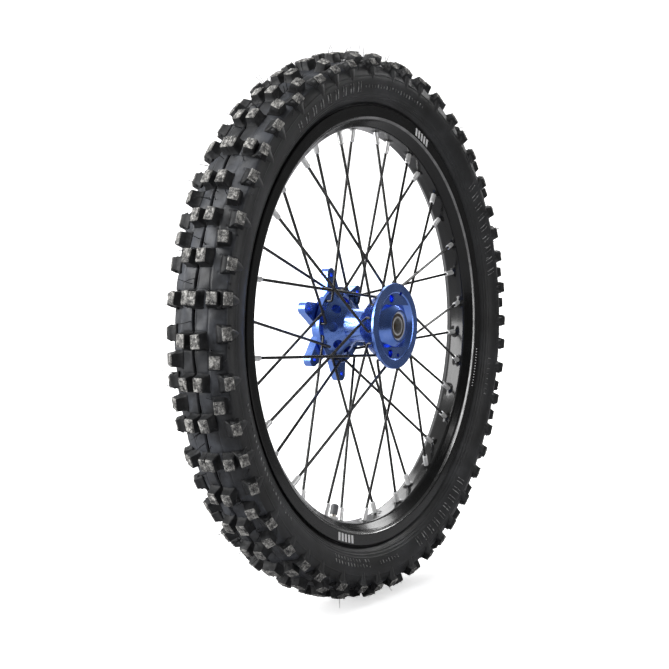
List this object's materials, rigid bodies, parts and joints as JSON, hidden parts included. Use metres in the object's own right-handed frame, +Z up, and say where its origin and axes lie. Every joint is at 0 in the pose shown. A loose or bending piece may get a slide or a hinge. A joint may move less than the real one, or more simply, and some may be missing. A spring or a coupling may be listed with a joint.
{
  "type": "spoked motorcycle wheel",
  "caption": "Laced off-road motorcycle front wheel with knobbly tyre, black rim, wire spokes, billet hub with brake-disc carrier and sealed bearings.",
  "frame": {"origin": "centre of the wheel: on the axle line, in the plane of the rim's centre", "axes": "+Y along the axle towards the brake-disc side, which is the rider's left; +X forwards; +Z up"},
  "size_m": [0.6968, 0.1085, 0.6968],
  "materials": {
    "tyre_rubber": "moulded rubber, slightly sheened sidewalls and scuffed block tops",
    "tube_rubber": "smooth black rubber",
    "rim_black": "gloss black anodised extrusion",
    "hub_blue": "royal blue anodised billet, fine turning marks",
    "spoke_black": "satin black steel wire",
    "nipple_silver": "bright nickel plate",
    "brass_plated": "dull plated brass",
    "cap_plastic": "dark grey moulded cap",
    "bearing_steel": "ground bearing steel",
    "cage_plastic": "brown nylon",
    "seal_rubber": "dark brown moulded seal",
    "spacer_alloy": "turned alloy"
  },
  "bodies": {
    "axle_core": {"bearing_right_inner_race": "bearing_steel", "bearing_left_inner_race": "bearing_steel", "spacer_tube": "spacer_alloy"},
    "wheel": {"tyre": "tyre_rubber", "inner_tube": "tube_rubber", "rim_band": "tube_rubber", "rim": "rim_black", "hub_shell": "hub_blue", "valve_stem": "brass_plated", "valve_core": "brass_plated", "valve_cap": "cap_plastic", "valve_nut": "nipple_silver", "spokes_right_leading": "spoke_black", "nipples_right_leading": "nipple_silver", "spokes_right_trailing": "spoke_black", "nipples_right_trailing": "nipple_silver", "spokes_left_leading": "spoke_black", "nipples_left_leading": "nipple_silver", "spokes_left_trailing": "spoke_black", "nipples_left_trailing": "nipple_silver", "bearing_right_outer_race": "bearing_steel", "bearing_right_seal_right": "seal_rubber", "bearing_right_seal_left": "seal_rubber", "bearing_left_outer_race": "bearing_steel", "bearing_left_seal_right": "seal_rubber", "bearing_left_seal_left": "seal_rubber"},
    "right_ball_set": {"bearing_right_balls": "bearing_steel", "bearing_right_cage": "cage_plastic"},
    "left_ball_set": {"bearing_left_balls": "bearing_steel", "bearing_left_cage": "cage_plastic"}
  },
  "joints": [
    {"name": "wheel_spin", "type": "hinge", "parent": "axle_core", "child": "wheel", "pos_m": [0, 0, 0], "axis": [0, 1, 0], "continuous": true},
    {"name": "right_ball_spin", "type": "hinge", "parent": "axle_core", "child": "right_ball_set", "pos_m": [0, -0.042, 0], "axis": [0, 1, 0], "continuous": true},
    {"name": "left_ball_spin", "type": "hinge", "parent": "axle_core", "child": "left_ball_set", "pos_m": [0, 0.0515, 0], "axis": [0, 1, 0], "continuous": true}
  ],
  "couplings": [
    {"joint": "right_ball_spin", "follows": "wheel_spin", "ratio": 0.59123},
    {"joint": "left_ball_spin", "follows": "wheel_spin", "ratio": 0.59123}
  ]
}
